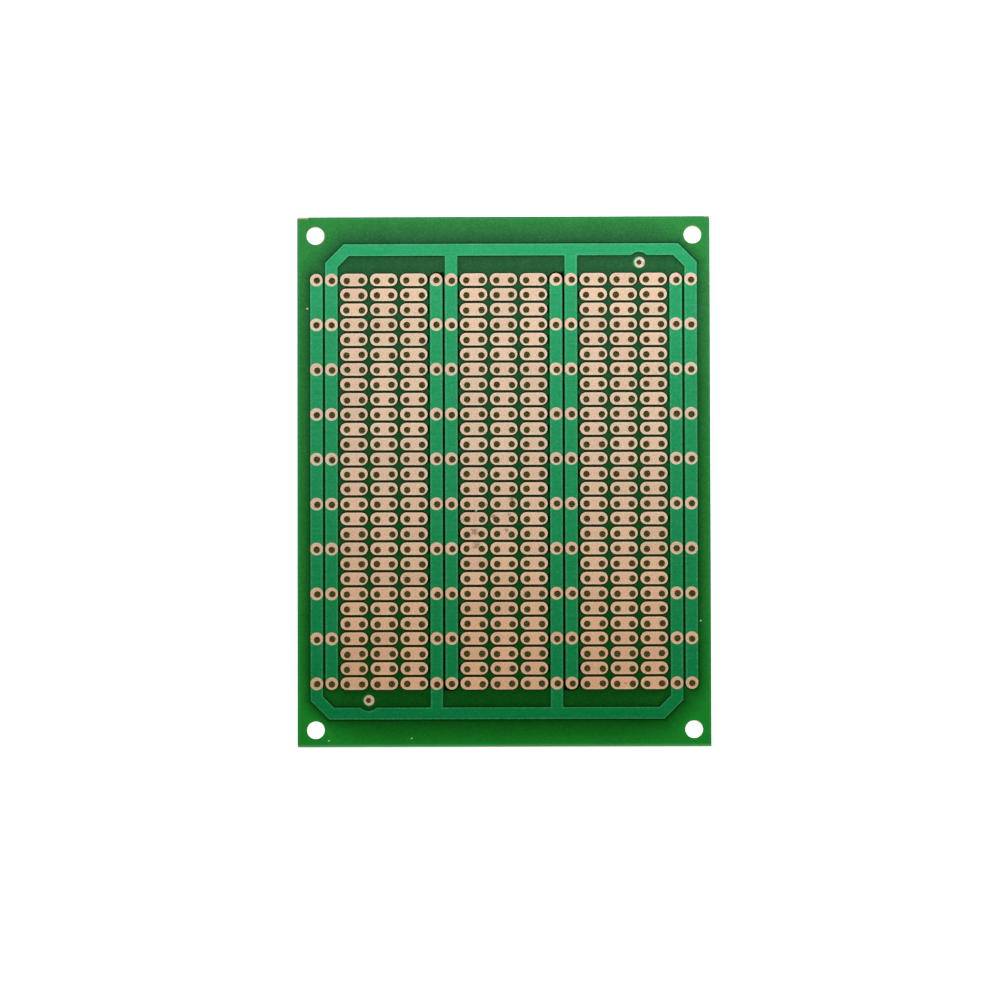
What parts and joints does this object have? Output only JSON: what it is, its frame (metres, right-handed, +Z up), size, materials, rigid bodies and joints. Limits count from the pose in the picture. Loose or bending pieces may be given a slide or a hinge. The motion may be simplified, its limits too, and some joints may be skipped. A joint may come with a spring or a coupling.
{
  "type": "prototype board",
  "caption": "Flat drilled prototype board with copper link pads, interleaved comb bus bars, a green solder mask and a screw hole in each corner, for soldering up trial circuits.",
  "frame": {"origin": "centre of the underside, on the surface that the board lies on", "axes": "+Z up out of the copper side, +Y along the rails towards the top bar, +X across the rails"},
  "size_m": [0.07, 0.09, 0.0017],
  "materials": {
    "glass_epoxy": "sawn glass-epoxy laminate, yellow-green, slightly translucent",
    "solder_mask": "satin green printed film",
    "copper_foil": "bare copper under a thin flux lacquer, pinkish, matt"
  },
  "bodies": {
    "root": {"laminate": "glass_epoxy", "solder_mask": "solder_mask", "top_bus_comb": "copper_foil", "bottom_bus_comb": "copper_foil", "link_pads_a1": "copper_foil", "link_pads_a2": "copper_foil", "link_pads_a3": "copper_foil", "link_pads_b1": "copper_foil", "link_pads_b2": "copper_foil", "link_pads_b3": "copper_foil", "link_pads_c1": "copper_foil", "link_pads_c2": "copper_foil", "link_pads_c3": "copper_foil", "tooling_pad_top": "copper_foil", "tooling_pad_bottom": "copper_foil"}
  },
  "joints": []
}
